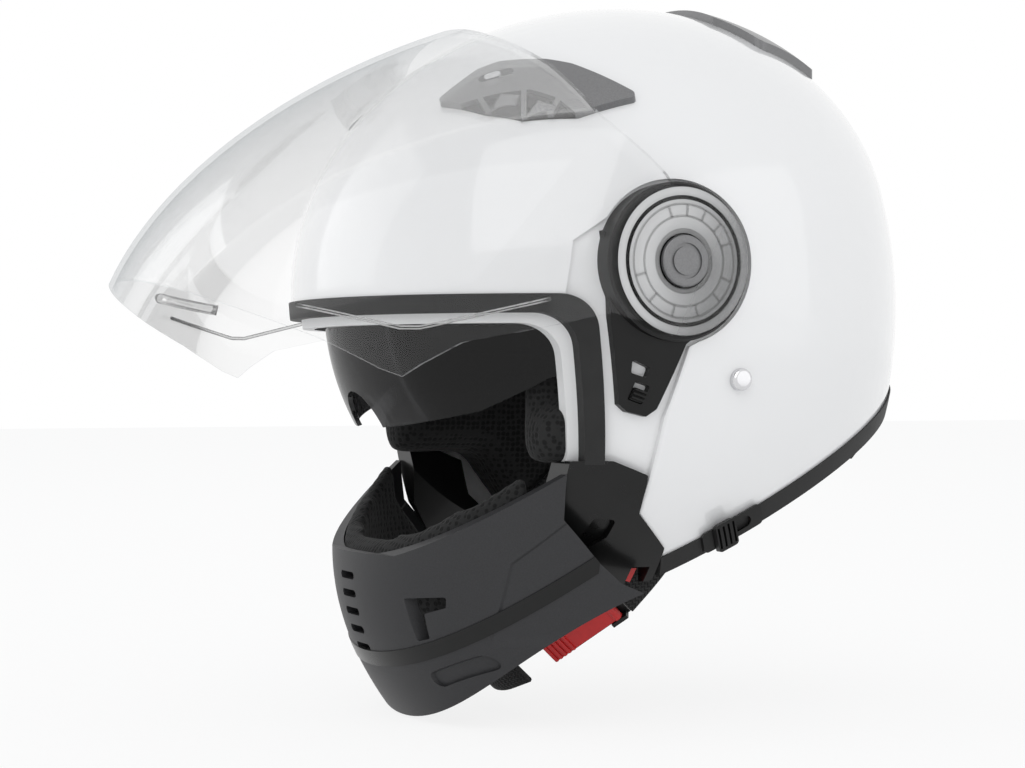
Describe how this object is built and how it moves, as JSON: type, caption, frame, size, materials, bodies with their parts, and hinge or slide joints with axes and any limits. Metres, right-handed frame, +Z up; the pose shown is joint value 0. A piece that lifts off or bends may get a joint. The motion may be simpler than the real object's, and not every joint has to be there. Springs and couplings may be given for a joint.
{
  "type": "modular motorcycle helmet",
  "caption": "Modular motorcycle helmet: hard shell and padding, raised clear face shield, smoke inner visor, detachable chin bar, vents and a ratchet chin strap",
  "frame": {"origin": "midway between the two pivots of the face shield, which is where the wearer's temples hold it", "axes": "+Z up, the face looks along -Y, +X to the wearer's left; nose-down pose as worn on a leaning head"},
  "size_m": [0.2486, 0.3595, 0.3139],
  "materials": {
    "shell_white": "gloss",
    "chin_anthracite": "matte",
    "black_plastic": "satin",
    "black_gloss": "gloss",
    "titanium_plastic": "satin",
    "clear_shield": "polished",
    "smoke_visor": "polished",
    "gasket_rubber": "matte",
    "lip_white": "satin",
    "foam": "matte",
    "pad_fabric": "mesh cloth",
    "strap_webbing": "woven",
    "chrome": "polished",
    "steel": "brushed",
    "red_plastic": "satin",
    "ratchet_grey": "satin"
  },
  "bodies": {
    "helmet": {"outer_shell": "shell_white", "eyeport_gasket": "gasket_rubber", "eyeport_lip": "lip_white", "rim_trim": "gasket_rubber", "eps_liner": "foam", "crown_pad": "pad_fabric", "cheek_pad_left": "pad_fabric", "cheek_pad_right": "pad_fabric", "neck_roll": "pad_fabric", "pivot_base_left": "black_plastic", "pivot_base_right": "black_plastic", "shield_hub_left": "titanium_plastic", "shield_hub_right": "titanium_plastic", "vent_intake_left": "black_plastic", "vent_intake_right": "black_plastic", "brow_vent_left": "titanium_plastic", "brow_vent_right": "titanium_plastic", "rear_vent": "titanium_plastic", "side_stud_left": "chrome", "side_stud_right": "chrome", "side_pod_left": "black_gloss", "side_pod_right": "black_gloss", "inner_visor_pin_left": "steel", "inner_visor_pin_right": "steel", "slide_track": "black_plastic", "buckle_body": "black_plastic", "buckle_pin": "steel", "chin_strap_left": "strap_webbing", "chin_strap_right": "strap_webbing"},
    "shield": {"face_shield": "clear_shield"},
    "inner_visor": {"sun_visor": "smoke_visor"},
    "visor_knob": {"visor_slide": "black_plastic"},
    "chin_bar": {"chin_bar_shell": "chin_anthracite", "chin_band": "black_gloss", "chin_lining": "pad_fabric"},
    "chin_tab_left": {"chin_release_left": "red_plastic"},
    "chin_tab_right": {"chin_release_right": "red_plastic"},
    "shield_lever_left": {"shield_release_left": "black_plastic"},
    "shield_lever_right": {"shield_release_right": "black_plastic"},
    "vent_knob_left": {"vent_slider_left": "chrome"},
    "vent_knob_right": {"vent_slider_right": "chrome"},
    "buckle_flap": {"buckle_lever": "red_plastic"},
    "tongue": {"ratchet_tongue": "ratchet_grey"}
  },
  "joints": [
    {"name": "shield_hinge", "type": "hinge", "parent": "helmet", "child": "shield", "pos_m": [0, 0, 0], "axis": [1, 0, 0], "range_deg": [-6, 34]},
    {"name": "inner_visor_hinge", "type": "hinge", "parent": "helmet", "child": "inner_visor", "pos_m": [0, 0.012, -0.012], "axis": [1, 0, 0], "range_deg": [-44, 0]},
    {"name": "visor_knob_slide", "type": "slide", "parent": "helmet", "child": "visor_knob", "axis": [0.2076, 0.8597, 0.4668], "range_m": [0, 0.01]},
    {"name": "chin_bar_off", "type": "slide", "parent": "helmet", "child": "chin_bar", "axis": [0, -0.6, -0.8], "range_m": [0, 0.06]},
    {"name": "chin_tab_left_slide", "type": "slide", "parent": "helmet", "child": "chin_tab_left", "axis": [0, 1, 0], "range_m": [0, 0.0025], "stiffness_N_per_m": 400},
    {"name": "chin_tab_right_slide", "type": "slide", "parent": "helmet", "child": "chin_tab_right", "axis": [0, 1, 0], "range_m": [0, 0.0025], "stiffness_N_per_m": 400},
    {"name": "shield_lever_left_slide", "type": "slide", "parent": "helmet", "child": "shield_lever_left", "axis": [0.2, 0.3351, 0.9207], "range_m": [0, 0.002], "stiffness_N_per_m": 300},
    {"name": "shield_lever_right_slide", "type": "slide", "parent": "helmet", "child": "shield_lever_right", "axis": [-0.2, 0.3351, 0.9207], "range_m": [0, 0.002], "stiffness_N_per_m": 300},
    {"name": "vent_knob_left_slide", "type": "slide", "parent": "helmet", "child": "vent_knob_left", "axis": [0.5087, 0.8365, 0.2036], "range_m": [0, 0.002]},
    {"name": "vent_knob_right_slide", "type": "slide", "parent": "helmet", "child": "vent_knob_right", "axis": [-0.5087, 0.8365, 0.2036], "range_m": [0, 0.002]},
    {"name": "buckle_flap_hinge", "type": "hinge", "parent": "helmet", "child": "buckle_flap", "pos_m": [0.05708, -0.00295, -0.14073], "axis": [0, 0.722, -0.6919], "range_deg": [-30, 0], "stiffness_Nm_per_rad": 0.02},
    {"name": "tongue_slide", "type": "slide", "parent": "helmet", "child": "tongue", "axis": [-0.6198, -0.543, -0.5666], "range_m": [0, 0.006]}
  ],
  "couplings": [
    {"joint": "inner_visor_hinge", "follows": "visor_knob_slide", "rad_per_m": -76.794}
  ]
}
